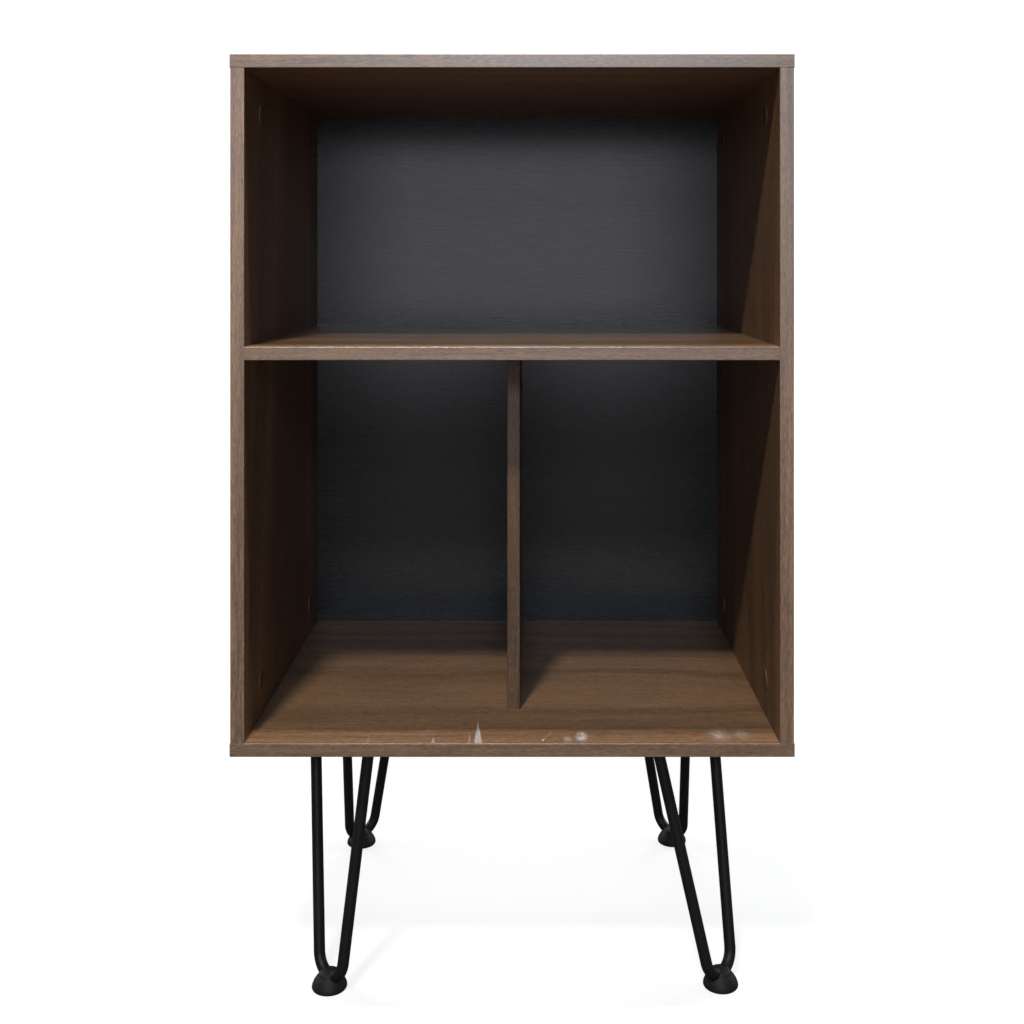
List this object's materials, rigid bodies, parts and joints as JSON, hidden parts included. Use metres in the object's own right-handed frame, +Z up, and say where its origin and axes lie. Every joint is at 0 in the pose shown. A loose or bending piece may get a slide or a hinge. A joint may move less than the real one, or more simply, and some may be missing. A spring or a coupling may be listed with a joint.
{
  "type": "record storage stand",
  "caption": "Open-fronted walnut-effect storage cabinet with a shelf, an upright divider and a dark back, standing on black bent-rod hairpin legs with rubber feet.",
  "frame": {"origin": "centre of the footprint, on the floor that the feet stand on", "axes": "+Z up, -Y towards the open front, +X to the right seen from the front"},
  "size_m": [0.5, 0.4, 0.855],
  "materials": {
    "walnut_laminate": "satin walnut-effect laminate, fine grain",
    "walnut_edge_band": "satin walnut-effect edge band",
    "back_board": "semi-gloss charcoal foil with a faint level grain",
    "zinc_cam": "die-cast zinc, dull",
    "bright_steel": "zinc-plated, bright",
    "brown_cap": "moulded, satin",
    "beech_dowel": "raw, fluted beech",
    "black_powder_coat": "matte black powder coat",
    "black_rubber": "matte moulded rubber"
  },
  "bodies": {
    "root": {"top_panel": "walnut_laminate", "bottom_panel": "walnut_laminate", "left_side_panel": "walnut_laminate", "right_side_panel": "walnut_laminate", "middle_shelf": "walnut_laminate", "centre_divider": "walnut_laminate", "back_panel": "back_board", "top_edge_bands": "walnut_edge_band", "bottom_edge_bands": "walnut_edge_band", "left_side_edge_band": "walnut_edge_band", "right_side_edge_band": "walnut_edge_band", "shelf_edge_band": "walnut_edge_band", "divider_edge_band": "walnut_edge_band", "cam_locks": "zinc_cam", "cam_bolts": "bright_steel", "cam_cover_caps": "brown_cap", "wood_dowels": "beech_dowel", "divider_screws": "bright_steel", "front_left_leg_plate": "black_powder_coat", "front_right_leg_plate": "black_powder_coat", "rear_left_leg_plate": "black_powder_coat", "rear_right_leg_plate": "black_powder_coat", "front_left_hairpin_rod": "black_powder_coat", "front_right_hairpin_rod": "black_powder_coat", "rear_left_hairpin_rod": "black_powder_coat", "rear_right_hairpin_rod": "black_powder_coat", "leg_weld_beads": "black_powder_coat", "front_left_foot": "black_rubber", "front_right_foot": "black_rubber", "rear_left_foot": "black_rubber", "rear_right_foot": "black_rubber", "leg_plate_screws": "bright_steel"}
  },
  "joints": []
}
